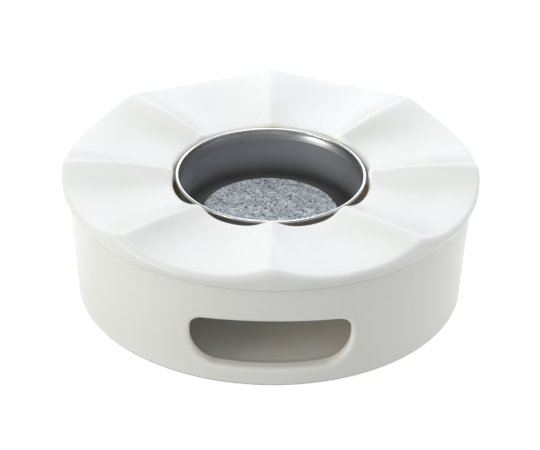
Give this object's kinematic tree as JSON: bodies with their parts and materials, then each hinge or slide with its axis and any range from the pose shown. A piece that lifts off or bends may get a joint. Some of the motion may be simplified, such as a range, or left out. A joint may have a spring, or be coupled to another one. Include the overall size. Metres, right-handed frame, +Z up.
{
  "type": "hot stone heater",
  "caption": "Table-top stone warmer: a porcelain drum with a window, a loose scalloped ring, a hanging steel cup with a lava stone, and a tea light inside.",
  "frame": {"origin": "centre of the drum's underside, on the surface it stands on", "axes": "+Z up along the drum's axis, -Y towards the window, +X to the right seen from the window"},
  "size_m": [0.25, 0.25, 0.0816],
  "materials": {
    "porcelain_drum": "white glaze, soft satin gloss",
    "porcelain_ring": "white glaze, soft satin gloss",
    "stainless_cup": "spun satin wall with a polished rolled rim",
    "lava_stone": "sawn, open-pored, speckled blue grey",
    "candle_foil": "thin drawn sheet",
    "candle_wax": "paraffin wax, slightly translucent",
    "wick_cotton": "braided cotton, waxed",
    "tinned_tab": "tinned sheet"
  },
  "bodies": {
    "drum": {"base_drum": "porcelain_drum"},
    "ring": {"top_ring": "porcelain_ring"},
    "cup": {"steel_cup": "stainless_cup"},
    "stone": {"lava_stone": "lava_stone"},
    "tea_light": {"candle_cup": "candle_foil", "candle_wax": "candle_wax", "candle_wick": "wick_cotton", "wick_tab": "tinned_tab"}
  },
  "joints": [
    {"name": "ring_lift", "type": "slide", "parent": "drum", "child": "ring", "axis": [0, 0, 1], "range_m": [0, 0.12]},
    {"name": "cup_lift", "type": "slide", "parent": "ring", "child": "cup", "axis": [0, 0, 1], "range_m": [0, 0.09]},
    {"name": "stone_lift", "type": "slide", "parent": "cup", "child": "stone", "axis": [0, 0, 1], "range_m": [0, 0.08]},
    {"name": "candle_slide", "type": "slide", "parent": "drum", "child": "tea_light", "axis": [0, -0.9976, 0.0698], "range_m": [0, 0.15]}
  ]
}
